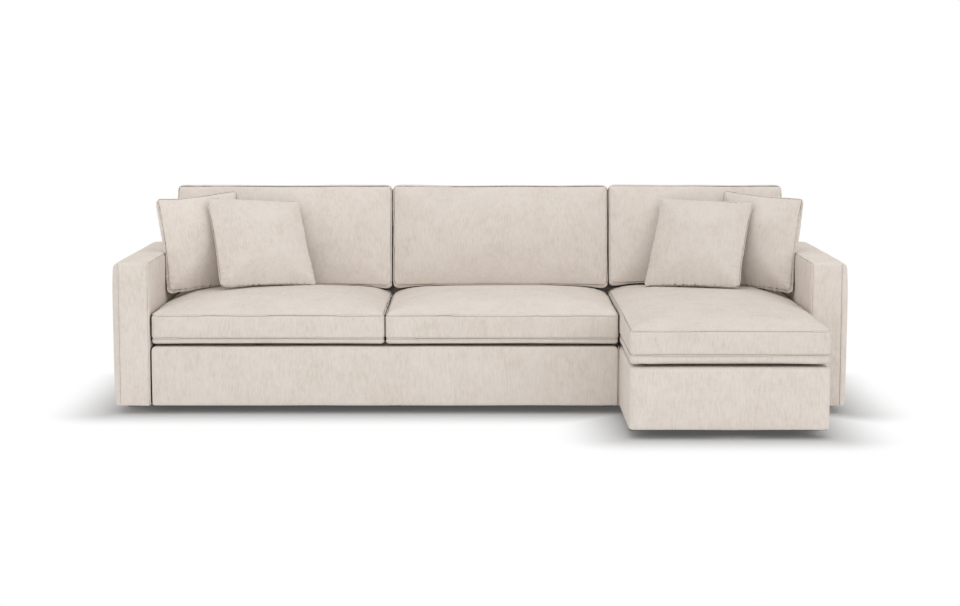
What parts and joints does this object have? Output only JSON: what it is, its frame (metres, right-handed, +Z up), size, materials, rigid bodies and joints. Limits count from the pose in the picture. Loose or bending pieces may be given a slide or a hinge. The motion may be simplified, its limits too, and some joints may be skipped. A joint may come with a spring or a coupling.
{
  "type": "sectional sofa with chaise",
  "caption": "L-shaped upholstered sectional sofa: a sofa unit and a chaise unit joined by slide-in connectors, with loose seat, back and throw cushions.",
  "frame": {"origin": "on the floor, under the middle of the whole sofa's width and depth", "axes": "+X along the sofa towards the chaise (the sitter's left), +Y to the rear, +Z up"},
  "size_m": [3.1, 1.55, 0.9136],
  "materials": {
    "linen_fabric": "warm light beige linen-look weave with small slubs, matt",
    "padding": "off-white polyester wadding and foam, matt",
    "pine_timber": "planed pine, unfinished",
    "webbing": "woven elastic webbing, matt black",
    "dust_cloth": "thin black non-woven cloth, matt",
    "foot_plastic": "moulded black plastic, matt",
    "connector_steel": "zinc-plated pressed spring steel"
  },
  "bodies": {
    "sofa_section": {"connector_jaws": "connector_steel", "left_arm_cover": "linen_fabric", "left_arm_frame": "pine_timber", "left_arm_packers": "pine_timber", "left_arm_padding": "padding", "sofa_back_posts": "pine_timber", "sofa_back_top_rail": "pine_timber", "sofa_back_webbing": "webbing", "sofa_corner_blocks": "pine_timber", "sofa_deck": "padding", "sofa_dust_cloth": "dust_cloth", "sofa_end_covers": "linen_fabric", "sofa_feet": "foot_plastic", "sofa_front_cover": "linen_fabric", "sofa_front_rail": "pine_timber", "sofa_inside_back_cover": "linen_fabric", "sofa_outside_back_cover": "linen_fabric", "sofa_rear_rail": "pine_timber", "sofa_seat_rear_rail": "pine_timber", "sofa_seat_webbing": "webbing", "sofa_side_rails": "pine_timber", "sofa_tie_rails": "pine_timber"},
    "chaise_section": {"chaise_back_posts": "pine_timber", "chaise_back_top_rail": "pine_timber", "chaise_back_webbing": "webbing", "chaise_base_cover": "linen_fabric", "chaise_corner_blocks": "pine_timber", "chaise_deck": "padding", "chaise_dust_cloth": "dust_cloth", "chaise_end_covers": "linen_fabric", "chaise_feet": "foot_plastic", "chaise_front_rail": "pine_timber", "chaise_inside_back_cover": "linen_fabric", "chaise_outside_back_cover": "linen_fabric", "chaise_rear_rail": "pine_timber", "chaise_seat_rear_rail": "pine_timber", "chaise_seat_webbing": "webbing", "chaise_side_rails": "pine_timber", "chaise_tie_rails": "pine_timber", "connector_tongues": "connector_steel", "right_arm_cover": "linen_fabric", "right_arm_frame": "pine_timber", "right_arm_packers": "pine_timber", "right_arm_padding": "padding"},
    "seat_cushion_left": {"seat_cushion_left": "linen_fabric"},
    "seat_cushion_middle": {"seat_cushion_middle": "linen_fabric"},
    "chaise_cushion": {"chaise_cushion": "linen_fabric"},
    "back_cushion_left": {"back_cushion_left": "linen_fabric"},
    "back_cushion_middle": {"back_cushion_middle": "linen_fabric"},
    "back_cushion_right": {"back_cushion_right": "linen_fabric"},
    "throw_pillow_left_outer": {"throw_pillow_left_outer": "linen_fabric"},
    "throw_pillow_left_inner": {"throw_pillow_left_inner": "linen_fabric"},
    "throw_pillow_right_outer": {"throw_pillow_right_outer": "linen_fabric"},
    "throw_pillow_right_inner": {"throw_pillow_right_inner": "linen_fabric"}
  },
  "joints": [
    {"name": "chaise_slide", "type": "slide", "parent": "sofa_section", "child": "chaise_section", "axis": [1, 0, 0], "range_m": [0, 0.5]},
    {"name": "seat_left_slide", "type": "slide", "parent": "sofa_section", "child": "seat_cushion_left", "axis": [0, -1, 0], "range_m": [0, 0.9]},
    {"name": "seat_middle_slide", "type": "slide", "parent": "sofa_section", "child": "seat_cushion_middle", "axis": [0, -1, 0], "range_m": [0, 0.9]},
    {"name": "chaise_cushion_slide", "type": "slide", "parent": "chaise_section", "child": "chaise_cushion", "axis": [0, -1, 0], "range_m": [0, 1.4]},
    {"name": "back_left_lift", "type": "slide", "parent": "sofa_section", "child": "back_cushion_left", "axis": [0, 0.1736, 0.9848], "range_m": [0, 0.5]},
    {"name": "back_middle_lift", "type": "slide", "parent": "sofa_section", "child": "back_cushion_middle", "axis": [0, 0.1736, 0.9848], "range_m": [0, 0.5]},
    {"name": "back_right_lift", "type": "slide", "parent": "chaise_section", "child": "back_cushion_right", "axis": [0, 0.1736, 0.9848], "range_m": [0, 0.5]},
    {"name": "pillow_left_outer_lift", "type": "slide", "parent": "back_cushion_left", "child": "throw_pillow_left_outer", "axis": [0, 0, 1], "range_m": [0, 0.5]},
    {"name": "pillow_left_inner_lift", "type": "slide", "parent": "throw_pillow_left_outer", "child": "throw_pillow_left_inner", "axis": [0, 0, 1], "range_m": [0, 0.5]},
    {"name": "pillow_right_outer_lift", "type": "slide", "parent": "back_cushion_right", "child": "throw_pillow_right_outer", "axis": [0, 0, 1], "range_m": [0, 0.5]},
    {"name": "pillow_right_inner_lift", "type": "slide", "parent": "throw_pillow_right_outer", "child": "throw_pillow_right_inner", "axis": [0, 0, 1], "range_m": [0, 0.5]}
  ]
}
